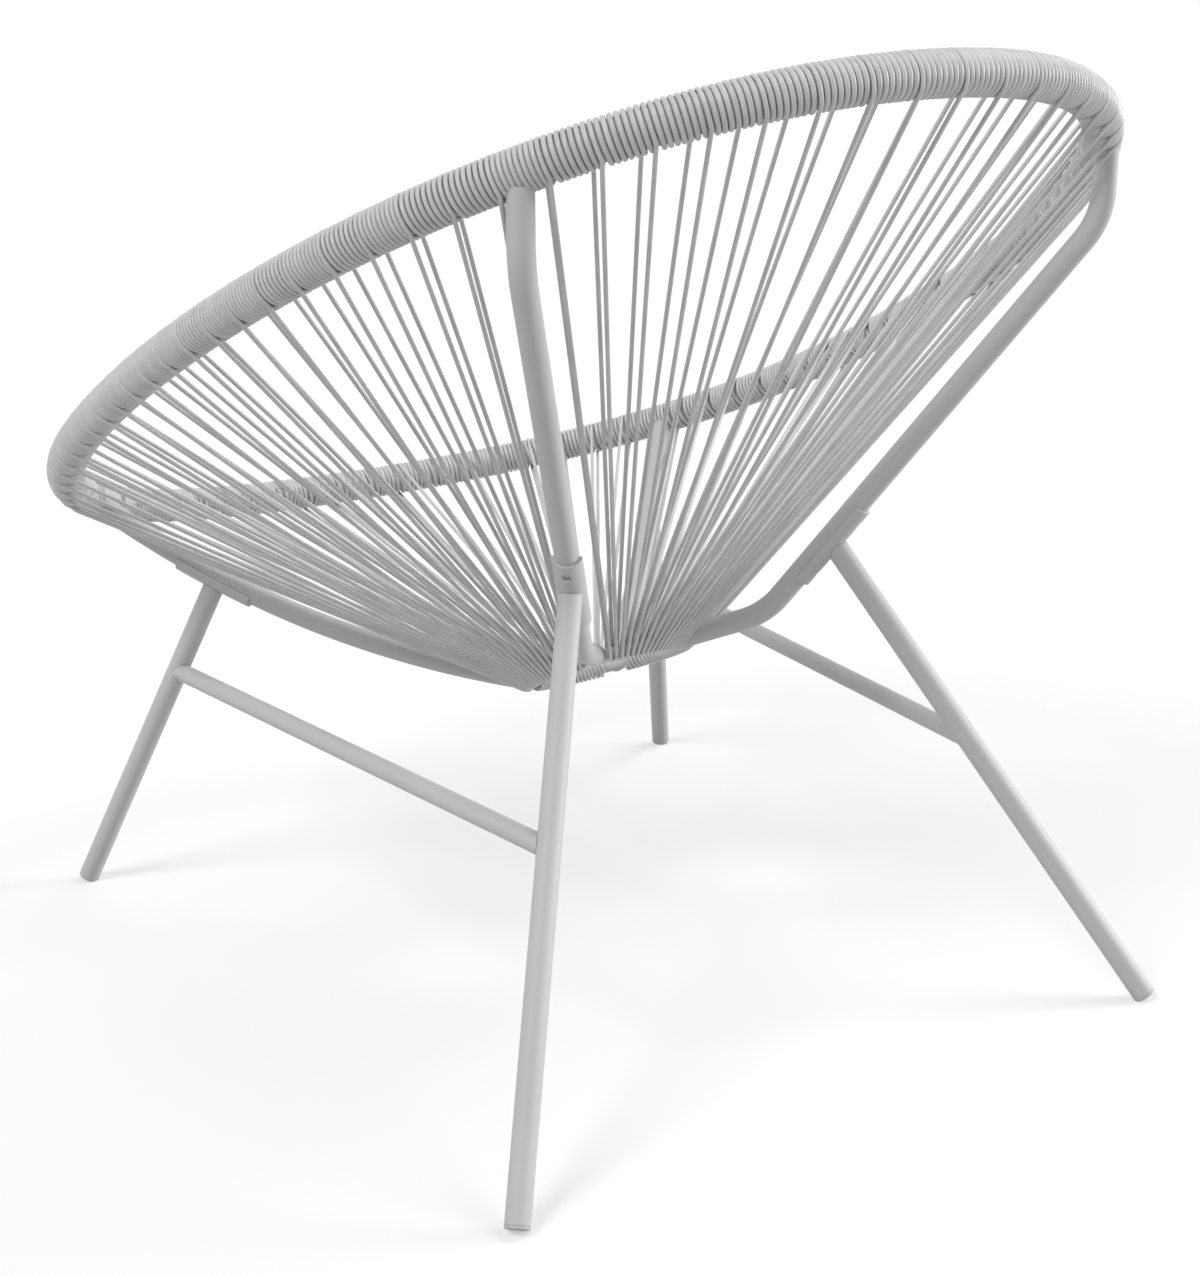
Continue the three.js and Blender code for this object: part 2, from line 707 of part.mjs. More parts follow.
// Stretchers between the front and back leg of each side, coped to the legs.
for (const side of [1, -1]) {
  const pair = corners.filter((corner) => corner.side === side);
  const [back, front] = pair.map(({ footPoint, legAhead }) =>
    footPoint.clone().addScaledVector(legAhead, stretcher.height / legAhead.z),
  );
  const ahead = back.clone().sub(front).normalize();
  const bar = straightFrames(front, ahead, [0, front.distanceTo(back)]);
  let body = solidOf(sweep(bar, circle(stretcher.radius, stretcher.sides)));
  for (const { footPoint, legAhead, legLength } of pair) {
    const cut = straightFrames(footPoint, legAhead, [0, legLength]);
    const radius = leg.radius + clearance / Math.cos(Math.PI / leg.sides);
    body = body.subtract(solidOf(sweep(cut, circle(radius, leg.sides))));
  }
  add((side > 0 ? "left" : "right") + "_stretcher", geometryOf(body), powderCoat);
}

// The winding, notched where the seat tubes reach the rim tube, and the lacing cords.
const numbered = (name, i) => name + "_" + String(i + 1).padStart(2, "0");
for (let i = 0; i < winding.count; i++) {
  let body = solidOf(barrel(i));
  for (const notch of notches) body = body.subtract(notch);
  add(numbered("rim_winding", i), geometryOf(body), cordPlastic);
}

let leastOfAll = Infinity;
cordRuns.forEach((pairs, i) => {
  const path = lacingPath(pairs);
  leastOfAll = Math.min(leastOfAll, leastGap(path));
  add(numbered("seat_cord", i), sweep(cordFrames(path), cordSection), cordPlastic);
});
console.log("least gap of a lacing cord to itself: " + leastOfAll.toFixed(2) + " mm");

export default chair;
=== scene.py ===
import math

import bmesh
import bpy
from mathutils import Matrix, Vector


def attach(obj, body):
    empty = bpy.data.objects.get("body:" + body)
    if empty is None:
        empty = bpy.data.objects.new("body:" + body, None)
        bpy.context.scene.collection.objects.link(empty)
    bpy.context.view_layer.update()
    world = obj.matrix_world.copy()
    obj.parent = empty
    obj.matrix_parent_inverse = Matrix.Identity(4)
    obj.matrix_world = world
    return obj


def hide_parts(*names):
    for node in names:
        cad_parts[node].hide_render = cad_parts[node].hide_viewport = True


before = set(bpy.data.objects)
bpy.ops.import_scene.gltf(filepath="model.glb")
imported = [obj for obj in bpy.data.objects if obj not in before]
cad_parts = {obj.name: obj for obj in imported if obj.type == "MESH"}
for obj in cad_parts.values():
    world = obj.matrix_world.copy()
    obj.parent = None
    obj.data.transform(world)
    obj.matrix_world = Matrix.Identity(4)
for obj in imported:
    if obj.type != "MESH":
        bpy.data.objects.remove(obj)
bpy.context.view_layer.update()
mm = 0.001
up = Vector((0, 0, 1))
print("frame loaded:", len(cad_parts), "nodes")


# Small helpers for nodes and meshes

def linear(code):
    # sRGB hex to the linear colour that a shader wants
    parts = [int(code[i:i + 2], 16) / 255 for i in (1, 3, 5)]
    return [c / 12.92 if c <= 0.04045 else ((c + 0.055) / 1.055) ** 2.4 for c in parts] + [1.0]


def addNode(tree, kind, inputs=None, **settings):
    node = tree.nodes.new(kind)
    for name, value in settings.items():
        setattr(node, name, value)
    for key, value in (inputs or {}).items():
        if isinstance(value, bpy.types.NodeSocket):
            tree.links.new(value, node.inputs[key])
        else:
            node.inputs[key].default_value = value
    return node


def maths(tree, operation, first, second=0.0):
    return addNode(tree, "ShaderNodeMath", {0: first, 1: second}, operation=operation).outputs["Value"]


def scaled(tree, vector, scale):
    node = addNode(tree, "ShaderNodeVectorMath", {0: vector, "Scale": scale}, operation="SCALE")
    return node.outputs["Vector"]


def lineMesh(name, points, closed=False, **attributes):
    # a row of points joined by edges, with vectors or numbers kept at each point
    mesh = bpy.data.meshes.new(name)
    edges = [(i, i + 1) for i in range(len(points) - 1)]
    if closed:
        edges.append((len(points) - 1, 0))
    mesh.from_pydata([tuple(p) for p in points], edges, [])
    for key, values in attributes.items():
        isVector = isinstance(values[0], Vector)
        layer = mesh.attributes.new(key, "FLOAT_VECTOR" if isVector else "FLOAT", "POINT")
        for item, value in zip(layer.data, values):
            if isVector:
                item.vector = value
            else:
                item.value = value
    return mesh


def newTree(name, sizes):
    # an empty Geometry Nodes tree with a geometry input and the named sizes
    tree = bpy.data.node_groups.new(name, "GeometryNodeTree")
    tree.interface.new_socket(name="Geometry", in_out="INPUT", socket_type="NodeSocketGeometry")
    for key, value in sizes.items():
        kind = {float: "NodeSocketFloat", int: "NodeSocketInt"}.get(type(value))
        socket = tree.interface.new_socket(
            name=key, in_out="INPUT", socket_type=kind or "NodeSocketMaterial")
        if kind:
            socket.default_value = value
    tree.interface.new_socket(name="Geometry", in_out="OUTPUT", socket_type="NodeSocketGeometry")
    return tree


def runTree(name, mesh, tree, sizes):
    # lays the tree on a mesh, sets its inputs, and keeps the result as a plain object
    carrier = bpy.data.objects.new(name + "Path", mesh)
    bpy.context.scene.collection.objects.link(carrier)
    modifier = carrier.modifiers.new("nodes", "NODES")
    modifier.node_group = tree
    for socket in tree.interface.items_tree:
        if socket.in_out == "INPUT" and socket.name in sizes:
            modifier[socket.identifier] = sizes[socket.name]
    return settle(name, carrier)


def settle(name, carrier):
    # the evaluated mesh as an object of its own, without modifiers
    bpy.context.view_layer.update()
    evaluated = carrier.evaluated_get(bpy.context.evaluated_depsgraph_get())
    mesh = bpy.data.meshes.new_from_object(evaluated)
    mesh.name = name
    bpy.data.objects.remove(carrier)
    piece = bpy.data.objects.new(name, mesh)
    bpy.context.scene.collection.objects.link(piece)
    return piece


def keep(piece, slot, *nodes):
    # hands a finished piece to the frame
    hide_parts(*nodes)
    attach(piece, "root")


sharpAngles = {"turned": 40, "cut": 30}


def smooth(piece, degrees):
    # smooth faces, with the edges sharp where they turn by more than the angle
    piece.data.polygons.foreach_set("use_smooth", [True] * len(piece.data.polygons))
    work = bmesh.new()
    work.from_mesh(piece.data)
    for edge in work.edges:
        edge.smooth = len(edge.link_faces) == 2 and edge.calc_face_angle(0) < math.radians(degrees)
    work.to_mesh(piece.data)
    work.free()


# Camera, set where the photograph was taken from
cameraPlace = {
    "at": (0.9764, 1.4943, 0.8365),
    "pitch": 72.441,
    "heading": 146.019,
    "lens": 59.475,
    "sensor": 36.0,
}
cameraData = bpy.data.cameras.new("camera")
cameraData.sensor_fit = "VERTICAL"
cameraData.sensor_height = cameraPlace["sensor"]
cameraData.lens = cameraPlace["lens"]
camera = bpy.data.objects.new("camera", cameraData)
camera.location = cameraPlace["at"]
camera.rotation_euler = (math.radians(cameraPlace["pitch"]), 0, math.radians(cameraPlace["heading"]))
bpy.context.scene.collection.objects.link(camera)
bpy.context.scene.camera = camera


# Materials

def newMaterial(name):
    material = bpy.data.materials.new(name)
    material.use_nodes = True
    material.node_tree.nodes.clear()
    return material, material.node_tree


def objectNoise(tree, scale, detail):
    place = addNode(tree, "ShaderNodeTexCoord").outputs["Object"]
    noise = addNode(tree, "ShaderNodeTexNoise", {"Vector": place, "Scale": scale, "Detail": detail})
    return noise.outputs["Fac"]


def attributeNoise(tree, name, scale, detail):
    # noise that follows a number kept on the mesh
    number = addNode(tree, "ShaderNodeAttribute", attribute_name=name).outputs["Fac"]
    noise = addNode(tree, "ShaderNodeTexNoise", {"W": number, "Scale": scale, "Detail": detail},
                    noise_dimensions="1D")
    return noise.outputs["Fac"]


def toneRamp(tree, factor, dark, light, start=0.0, end=1.0):
    ramp = addNode(tree, "ShaderNodeValToRGB", {"Fac": factor})
    first, last = ramp.color_ramp.elements
    first.position, last.position = start, end
    first.color, last.color = linear(dark), linear(light)
    return ramp.outputs["Color"]


def spread(tree, factor, low, high):
    node = addNode(tree, "ShaderNodeMapRange", {"Value": factor, "To Min": low, "To Max": high})
    return node.outputs["Result"]


def bumped(tree, height, strength, distance):
    node = addNode(tree, "ShaderNodeBump", {"Height": height, "Strength": strength, "Distance": distance})
    return node.outputs["Normal"]


def finishMaterial(tree, inputs):
    shader = addNode(tree, "ShaderNodeBsdfPrincipled", inputs)
    addNode(tree, "ShaderNodeOutputMaterial", {"Surface": shader.outputs["BSDF"]})


def powderCoat():
    # Steel tube, sprayed with light grey polyester powder and baked: satin, with a faint orange
    # peel about 1.5 mm across and a very slight drift in tone.
    material, tree = newMaterial("powderCoatedSteel")
    drift = objectNoise(tree, scale=14.0, detail=3.0)
    peel = objectNoise(tree, scale=1 / (1.5 * mm), detail=2.0)
    finishMaterial(tree, {
        "Base Color": toneRamp(tree, drift, "#bababa", "#c2c2c2"),
        "Roughness": spread(tree, drift, low=0.5, high=0.58),
        "Normal": bumped(tree, peel, strength=0.1, distance=0.03 * mm),
        "IOR": 1.5, "Specular IOR Level": 0.35,
    })
    return material


def extrudedCord():
    # Solid PVC cord, extruded: satin, with fine draw lines along it and a tone that wanders slowly
    # along its length, where it was stretched a little. Its 0.8 mm grain is drawn at 2.5 mm, as a
    # finer one would break up into dots on a cord this thin.
    material, tree = newMaterial("extrudedPvcCord")
    slow = attributeNoise(tree, "along", scale=22.0, detail=2.0)
    lines = attributeNoise(tree, "around", scale=9.0, detail=1.0)
    grain = objectNoise(tree, scale=1 / (2.5 * mm), detail=1.0)
    height = maths(tree, "ADD", lines, grain)
    finishMaterial(tree, {
        "Base Color": toneRamp(tree, slow, "#bcbcbc", "#cacaca", start=0.25, end=0.75),
        "Roughness": spread(tree, slow, low=0.38, high=0.48),
        "Normal": bumped(tree, height, strength=0.1, distance=0.02 * mm), "IOR": 1.53,
    })
    return material


def mouldedPlug():
    # Polyethylene, injection moulded: a slightly darker, waxier grey than the paint, with a fine
    # spark-eroded texture.
    material, tree = newMaterial("mouldedPolyethylene")
    grain = objectNoise(tree, scale=1 / (0.6 * mm), detail=3.0)
    finishMaterial(tree, {
        "Base Color": toneRamp(tree, grain, "#b2b2b2", "#bababa"), "Roughness": 0.55,
        "Normal": bumped(tree, grain, strength=0.3, distance=0.06 * mm), "IOR": 1.51,
    })
    return material


def zincSteel():
    # Steel screws, zinc plated: grey metal, dull in the driven socket.
    material, tree = newMaterial("zincPlatedSteel")
    cloud = objectNoise(tree, scale=1 / (1.2 * mm), detail=3.0)
    finishMaterial(tree, {
        "Base Color": toneRamp(tree, cloud, "#9c9c9c", "#b2b2b2"),
        "Roughness": spread(tree, cloud, low=0.3, high=0.5), "Metallic": 0.9,
    })
    return material


coatMaterial = powderCoat()
cordMaterial = extrudedCord()
plugMaterial = mouldedPlug()
zincMaterial = zincSteel()
print("materials made")


# Geometry Nodes: a round bar or cord along a path

def held(tree, name, kind):
    # what the points of a path hold
    node = addNode(tree, "GeometryNodeInputNamedAttribute", {"Name": name}, data_type=kind)
    return node.outputs["Attribute"]


def marked(tree, curve, name, measure):
    # keeps a measure of the curve at its points, for the materials
    spline = addNode(tree, "GeometryNodeSplineParameter")
    node = addNode(tree, "GeometryNodeStoreNamedAttribute", {
        "Geometry": curve, "Name": name, "Value": spline.outputs[measure],
    }, data_type="FLOAT", domain="POINT")
    return node.outputs["Geometry"]


def finishTree(tree, curve, sides, material, radius=1.0, scale=1.0):
    # sweeps a round section along the curve, with one radius or a scale of its own at each point,
    # and paints it
    circle = addNode(tree, "GeometryNodeCurvePrimitiveCircle", {"Resolution": sides, "Radius": radius})
    bar = addNode(tree, "GeometryNodeCurveToMesh", {
        "Curve": marked(tree, curve, "along", "Length"),
        "Profile Curve": marked(tree, circle.outputs["Curve"], "around", "Factor"),
        "Scale": scale, "Fill Caps": True,
    })
    shaded = addNode(tree, "GeometryNodeSetShadeSmooth", {"Geometry": bar.outputs["Mesh"]})
    real = addNode(tree, "GeometryNodeRealizeInstances", {"Geometry": shaded.outputs["Geometry"]})
    painted = addNode(tree, "GeometryNodeSetMaterial", {
        "Geometry": real.outputs["Geometry"], "Material": material,
    })
    addNode(tree, "NodeGroupOutput", {"Geometry": painted.outputs["Geometry"]})


def roundBarTree():
    tree = newTree("roundBarAlongPath", {"Diameter": 19 * mm, "Sides": 32, "Material": None})
    given = tree.nodes.new("NodeGroupInput").outputs
    line = addNode(tree, "GeometryNodeMeshToCurve", {"Mesh": given["Geometry"]})
    radius = maths(tree, "MULTIPLY", given["Diameter"], 0.5)
    finishTree(tree, line.outputs["Curve"], given["Sides"], given["Material"], radius=radius)
    return tree


def windingTree():
    # Winds a cord on a centre line whose points hold the directions away and outer, the number of
    # turns made so far and the width of each turn.
    sizes = {"Outer radius": 16.0 * mm, "Step length": 0.17 * mm, "Sides": 8, "Material": None}
    tree = newTree("cordWoundOnRim", sizes)
    given = tree.nodes.new("NodeGroupInput").outputs
    line = addNode(tree, "GeometryNodeMeshToCurve", {"Mesh": given["Geometry"]})
    fine = addNode(tree, "GeometryNodeResampleCurve", {
        "Curve": line.outputs["Curve"], "Length": given["Step length"],
    }, mode="LENGTH")
    half = maths(tree, "MULTIPLY", held(tree, "width", "FLOAT"), 0.5)
    reach = maths(tree, "SUBTRACT", given["Outer radius"], half)
    angle = maths(tree, "MULTIPLY", held(tree, "turns", "FLOAT"), 2 * math.pi)
    parts = []
    for name, operation in (("away", "COSINE"), ("outer", "SINE")):
        direction = held(tree, name, "FLOAT_VECTOR")
        unit = addNode(tree, "ShaderNodeVectorMath", {0: direction}, operation="NORMALIZE")
        parts.append(scaled(tree, unit.outputs["Vector"], maths(tree, operation, angle)))
    out = addNode(tree, "ShaderNodeVectorMath", {0: parts[0], 1: parts[1]}, operation="ADD")
    coil = addNode(tree, "GeometryNodeSetPosition", {
        "Geometry": fine.outputs["Curve"], "Offset": scaled(tree, out.outputs["Vector"], reach),
    })
    finishTree(tree, coil.outputs["Geometry"], given["Sides"], given["Material"], scale=half)
    return tree


barTree = roundBarTree()
coilTree = windingTree()


def bar(name, points, diameter, sides, closed=False):
    piece = runTree(name, lineMesh(name, points, closed), barTree, {
        "Diameter": diameter, "Sides": sides, "Material": coatMaterial,
    })
    smooth(piece, sharpAngles["turned"])
    return piece


# The rim: a slightly square, slightly egg-shaped oval on a tilted plane
rim = {
    "halfWidth": 405 * mm, "halfLength": 505.85 * mm, "tilt": math.radians(26.756),
    "middleBack": 5.17 * mm, "middleUp": 535.7 * mm, "archLift": 11.3 * mm, "archSkew": -9.8 * mm,
    "egg": -0.072, "square": 0.108, "tubeDiameter": 25.4 * mm, "stepsPerPair": 4, "sides": 24,
}
baseRing = {
    "radius": 72 * mm, "rodDiameter": 10 * mm, "back": 54.1 * mm, "up": 265 * mm,
    "steps": 96, "sides": 20,
}
lacing = {
    "pairs": 88, "centreAlong": 8.1 * mm, "cordDiameter": 3.3 * mm,
    "flushRadius": 14.48 * mm, "leavingRadius": 15.5 * mm, "wrapRadius": 6.8 * mm,
    "rimRoom": 13.3 * mm, "ringRoom": 12.8 * mm, "mostPairs": 9, "sides": 12,
    "rimStep": math.radians(9.4), "rimSteps": 10, "flushSteps": 6, "ringSteps": 12,
    "searchSteps": 16,
}
winding = {
    "outerRadius": 16.0 * mm, "filling": 0.92, "slotsAtBack": 8, "slotsMoreAtSide": 0.8, "count": 11,
    "crossing": 170 / 360, "stepLength": 0.17 * mm, "sides": 8, "rowsPerPair": 8,
}
rimAlong = Vector((0, math.cos(rim["tilt"]), math.sin(rim["tilt"])))
rimNormal = Vector((0, -math.sin(rim["tilt"]), math.cos(rim["tilt"])))
ringCentre = Vector((0, baseRing["back"], baseRing["up"]))
hub = Vector((0, baseRing["back"], 0))
pairStep = 2 * math.pi / lacing["pairs"]


def rimPlace(t):
    power = 2 / (2 + rim["square"])
    c, s = math.cos(t), math.sin(t)
    across = rim["halfWidth"] * math.copysign(abs(c) ** power, c) * (1 + rim["egg"] * s)
    share = math.copysign(abs(s) ** power, s)
    lift = rim["archLift"] * share ** 2 + rim["archSkew"] * (share ** 3 - share)
    return across, rim["halfLength"] * share, lift


def rimPoint(t):
    across, along, lift = rimPlace(t)
    return Vector((across, rim["middleBack"], rim["middleUp"])) + rimAlong * along + rimNormal * lift


def solveTurn(wanted, angleOf, rounds=60, share=0.7):
    # the turn of the oval that lies at a wanted angle
    t = wanted
    for _ in range(rounds):
        miss = wanted - angleOf(t)
        t += share * math.atan2(math.sin(miss), math.cos(miss))
    return t


def pairAngle(t):
    across, along, _ = rimPlace(t)
    return math.atan2(along - lacing["centreAlong"], across)


def ringBulge(angle):
    return Vector((math.cos(angle), 0, 0)) + rimAlong * math.sin(angle)


def ringPoint(angle):
    return ringCentre + ringBulge(angle) * baseRing["radius"]


frameCache = {}


def rimFrame(station, step=0.01):
    # point on the rim with the directions away from the base ring and to the outside and below;
    # stations count the pairs of cords from the middle of the back
    key = round(station, 5)
    if key not in frameCache:
        angle = math.pi / 2 + station * pairStep
        t = solveTurn(angle, pairAngle)
        point = rimPoint(t)
        ahead = (rimPoint(t + step) - rimPoint(t - step)).normalized()
        away = point - ringPoint(angle)
        away = (away - ahead * away.dot(ahead)).normalized()
        frameCache[key] = (point, away, ahead.cross(away))
    return frameCache[key]


def stationLength(station, reach=0.25):
    # length of rim from pair to pair near a station
    return (rimFrame(station + reach)[0] - rimFrame(station - reach)[0]).length / (2 * reach)


def slotsPerPair(station):
    # turns from one pair of cords to the next, with the loop of the pair as one
    return winding["slotsAtBack"] + winding["slotsMoreAtSide"] * math.sin(station * pairStep) ** 2


def turnPitch(station):
    return stationLength(station) / slotsPerPair(station)


rimLine = [rimFrame(s / rim["stepsPerPair"])[0] for s in range(rim["stepsPerPair"] * lacing["pairs"])]
hoop = bar("rimHoop", rimLine, rim["tubeDiameter"], rim["sides"], closed=True)
keep(hoop, "frame", "rim_tube")
ringLine = [ringPoint(2 * math.pi * s / baseRing["steps"]) for s in range(baseRing["steps"])]
ringBar = bar("bottomRing", ringLine, baseRing["rodDiameter"], baseRing["sides"], closed=True)
keep(ringBar, "frame", "base_ring")
print("rim and base ring made")


# Seat tubes, in upright planes through the middle of the base ring
seatTube = {"diameter": 18.8 * mm, "sides": 40, "bendStep": math.radians(3)}
backTube = {
    "plan": math.radians(48), "kneeReach": 139.2 * mm, "kneeUp": 318.6 * mm, "shoulderUp": 655.1 * mm,
    "kneeBend": 70 * mm, "shoulderBend": 63 * mm, "outset": 4.4 * mm, "endDrop": 9 * mm,
    "saddleReach": 190 * mm, "saddleLength": 80 * mm, "legLead": 1.7 * mm, "ringLift": 1.5 * mm,
}
frontTube = {
    "plan": math.radians(-48.56), "startSlope": 0.0727, "endSlope": 0.643, "endDrop": 0.0,
    "saddleReach": 361 * mm, "saddleLength": 74 * mm, "legLead": 0.0, "ringLift": 2.6 * mm, "steps": 48,
}
leg = {
    "diameter": 19 * mm, "sides": 48, "seam": 0.3 * mm, "bevel": 0.6 * mm,
    "backFoot": (316.6 * mm, 412 * mm), "frontFoot": (340.1 * mm, -335.2 * mm),
}


def crossings(plan):
    # where an upright plane meets the base ring and the rim, as angle, reach and height
    ringAngle = math.atan2(math.sin(plan) / math.cos(rim["tilt"]), math.cos(plan))
    t = solveTurn(plan, lambda turn: math.atan2(*(rimPoint(turn) - hub).yx))
    onRing, onRim = ringPoint(ringAngle), rimPoint(t)
    return ringAngle, (onRing - hub).xy.length, onRing.z, (onRim - hub).xy.length, onRim.z


def roundedPath(corners, bends):
    path = [corners[0]]
    for i, bend in enumerate(bends):
        before, corner, after = corners[i:i + 3]
        inward, outward = (corner - before).normalized(), (after - corner).normalized()
        turn = math.atan2(inward.cross(outward), inward.dot(outward))
        start = corner - inward * bend * math.tan(abs(turn) / 2)
        centre = start + Vector((-inward.y, inward.x)) * math.copysign(bend, turn)
        steps = math.ceil(abs(turn) / seatTube["bendStep"])
        for s in range(steps + 1):
            path.append(centre + Matrix.Rotation(turn * s / steps, 2) @ (start - centre))
    return path + [corners[-1]]


def backPath():
    _, ringReach, ringUp, rimReach, rimUp = crossings(backTube["plan"])
    reach = rimReach + backTube["outset"]
    return roundedPath([
        Vector((ringReach, ringUp + backTube["ringLift"])),
        Vector((backTube["kneeReach"], backTube["kneeUp"])),
        Vector((reach, backTube["shoulderUp"])),
        Vector((reach, rimUp - backTube["endDrop"])),
    ], [backTube["kneeBend"], backTube["shoulderBend"]])


def frontPath():
    _, ringReach, ringUp, rimReach, rimUp = crossings(frontTube["plan"])
    start = Vector((ringReach, ringUp + frontTube["ringLift"]))
    end = Vector((rimReach, rimUp - frontTube["endDrop"]))
    third = (end.x - start.x) / 3
    leaving = start + Vector((third, third * frontTube["startSlope"]))
    arriving = end - Vector((third, third * frontTube["endSlope"]))
    path = []
    for s in range(frontTube["steps"] + 1):
        u = s / frontTube["steps"]
        v = 1 - u
        path.append(start * v ** 3 + leaving * 3 * v * v * u + arriving * 3 * v * u * u + end * u ** 3)
    return path


def inSpace(path, direction):
    return [hub + direction * p.x + up * p.y for p in path]


def stretch(path, reach, offsets):
    # points of a path at distances along it from where it crosses a reach
    lengths = [0.0]
    for before, after in zip(path, path[1:]):
        lengths.append(lengths[-1] + (after - before).length)
    middle = next(
        lengths[i] + (lengths[i + 1] - lengths[i]) * (reach - path[i].x) / (path[i + 1].x - path[i].x)
        for i in range(len(path) - 1) if path[i + 1].x >= reach)
    found = []
    for offset in offsets:
        i = max(i for i, total in enumerate(lengths[:-1]) if total <= middle + offset)
        share = (middle + offset - lengths[i]) / (lengths[i + 1] - lengths[i])
        found.append(path[i].lerp(path[i + 1], share))
    return found


corners = []
for end, path, tube, foot in (
    ("back", backPath(), backTube, leg["backFoot"]),
    ("front", frontPath(), frontTube, leg["frontFoot"]),
):
    legTop = stretch(path, tube["saddleReach"] + tube["legLead"], [0])
    ringAngle = crossings(tube["plan"])[0]
    for hand, side in (("left", 1), ("right", -1)):
        direction = Vector((side * math.cos(tube["plan"]), math.sin(tube["plan"]), 0))
        top = inSpace(legTop, direction)[0]
        footPoint = Vector((side * foot[0], foot[1], 0))
        corners.append({
            "name": end + hand.capitalize(), "node": end + "_" + hand, "side": side, "path": path,
            "direction": direction, "tube": tube, "top": top, "foot": footPoint,
            "ahead": (top - footPoint).normalized(),
            "ringAngle": ringAngle if side > 0 else math.pi - ringAngle,
        })

for corner in corners:
    points = inSpace(corner["path"], corner["direction"])
    piece = bar(corner["name"] + "SeatTube", points, seatTube["diameter"], seatTube["sides"])
    keep(piece, "frame", corner["node"] + "_seat_tube")
print("seat tubes made")


# The lacing: 88 pairs of cords, parted where the seat tubes reach the rim and the ring
def nearestStation(point):
    steps = lacing["searchSteps"]
    stations = [s / steps for s in range(steps * lacing["pairs"])]
    return min(stations, key=lambda s: (rimFrame(s)[0] - point).length)


tubeStations = sorted(
    (nearestStation(inSpace(corner["path"], corner["direction"])[-1]), corner["ringAngle"])
    for corner in corners)


def clearedStation(station):
    for tube, _ in tubeStations:
        room = lacing["rimRoom"] / stationLength(tube)
        if abs(station - tube) < room:
            return tube + math.copysign(room, tube - lacing["pairs"] / 2)
    return station


cleared = [clearedStation(k) for k in range(lacing["pairs"])]


def stationsOn(start, place):
    return (place - start) % lacing["pairs"]


runs = []
for i, (tube, ringAngle) in enumerate(tubeStations):
    nextTube, nextAngle = tubeStations[(i + 1) % len(tubeStations)]
    here = sorted((s for s in cleared if stationsOn(tube, s) < stationsOn(tube, nextTube)),
                  key=lambda s: stationsOn(tube, s))
    span = (nextAngle - ringAngle) % (2 * math.pi)
    room = lacing["ringRoom"] / baseRing["radius"]
    pitch = (span - 2 * room) / (len(here) - 1)
    runs.append([(s, ringAngle + room + k * pitch, pitch) for k, s in enumerate(here)])


def overRim(station):
    # flush with the winding at the top, and riding over it where the cord leaves for the ring
    point, away, outer = rimFrame(station)
    ahead = away.cross(outer)
    slope = turnPitch(station) / (2 * math.pi)
    found = []
    for s in range(-lacing["rimSteps"], lacing["rimSteps"] + 1):
        turn = lacing["rimStep"] * s
        rise = max(abs(s) - lacing["flushSteps"], 0) / (lacing["rimSteps"] - lacing["flushSteps"])
        rise = rise * rise * (3 - 2 * rise)
        radius = lacing["flushRadius"] + (lacing["leavingRadius"] - lacing["flushRadius"]) * rise
        out = away * math.cos(turn) + outer * math.sin(turn)
        found.append(point + out * radius + ahead * turn * slope)
    return found


def roundRing(station, startAngle, pitch, first=0, last=1):
    # the wrap round the base ring after a pair; first and last are shares of it
    steps = lacing["ringSteps"]
    found = []
    for s in range(int(first * steps), int(last * steps) + 1):
        share = s / steps
        angle = startAngle + share * pitch
        centre = ringPoint(angle)
        ahead = ringBulge(angle + math.pi / 2)
        away = centre - rimFrame(station)[0]
        away = (away - ahead * away.dot(ahead)).normalized()
        turn = math.pi / 2 - math.pi * share
        out = away * math.cos(turn) + away.cross(ahead) * math.sin(turn)
        found.append(centre + out * lacing["wrapRadius"])
    return found


def lacingPath(pairs):
    # down and up between rim and ring, starting and ending halfway round the ring
    path = []
    for i, (station, angle, pitch) in enumerate(pairs):
        if i == 0:
            path += roundRing(station, angle - pitch, pitch, first=0.5)
        path += overRim(station)
        path += roundRing(station, angle, pitch, last=0.5 if i == len(pairs) - 1 else 1)
    return path


cordRuns = []
for run in runs:
    cords = math.ceil(len(run) / lacing["mostPairs"])
    starts = [math.floor(i * len(run) / cords + 0.5) for i in range(cords + 1)]
    cordRuns += [run[a:b] for a, b in zip(starts, starts[1:])]
for i, pairs in enumerate(cordRuns):
    piece = runTree("seatCord%02d" % (i + 1), lineMesh("seatCord", lacingPath(pairs)), barTree, {
        "Diameter": lacing["cordDiameter"], "Sides": lacing["sides"], "Material": cordMaterial,
    })
    keep(piece, "seat_cord", "seat_cord_%02d" % (i + 1))
print("seat cords laced:", len(cordRuns))


# The winding: seven turns from one pair of cords to the next, and eight near the sides. The loop of each
# pair lies between them as one more, and the winding crosses under it on the side that faces the base
# ring. The turns all but touch everywhere, so each is drawn as wide as nearly the whole of its place.
def turnTable():
    # stations and turns made, as corners of a broken line that starts a pair before the first
    stations = sorted(cleared)
    stations = [stations[-1] - lacing["pairs"]] + stations + [stations[0] + lacing["pairs"]]
    half = winding["crossing"] / 2
    table, turns, filled, taken = [], 0, 0.0, 0
    for here, following in zip(stations, stations[1:]):
        span = following - here
        filled += slotsPerPair((here + following) / 2) * span
        count = max(1, round(filled) - taken - 1)
        taken += count + 1
        skip = span * (1 + winding["crossing"]) / (count + 1) / 2
        table += [(here + skip, turns + 0.5 + half), (following - skip, turns + 0.5 + count - half)]
        turns += count
    return table


turnCorners = turnTable()


def turnsAt(station):
    for (a, m), (b, n) in zip(turnCorners, turnCorners[1:]):
        if a <= station <= b:
            return m + (n - m) * (station - a) / (b - a)


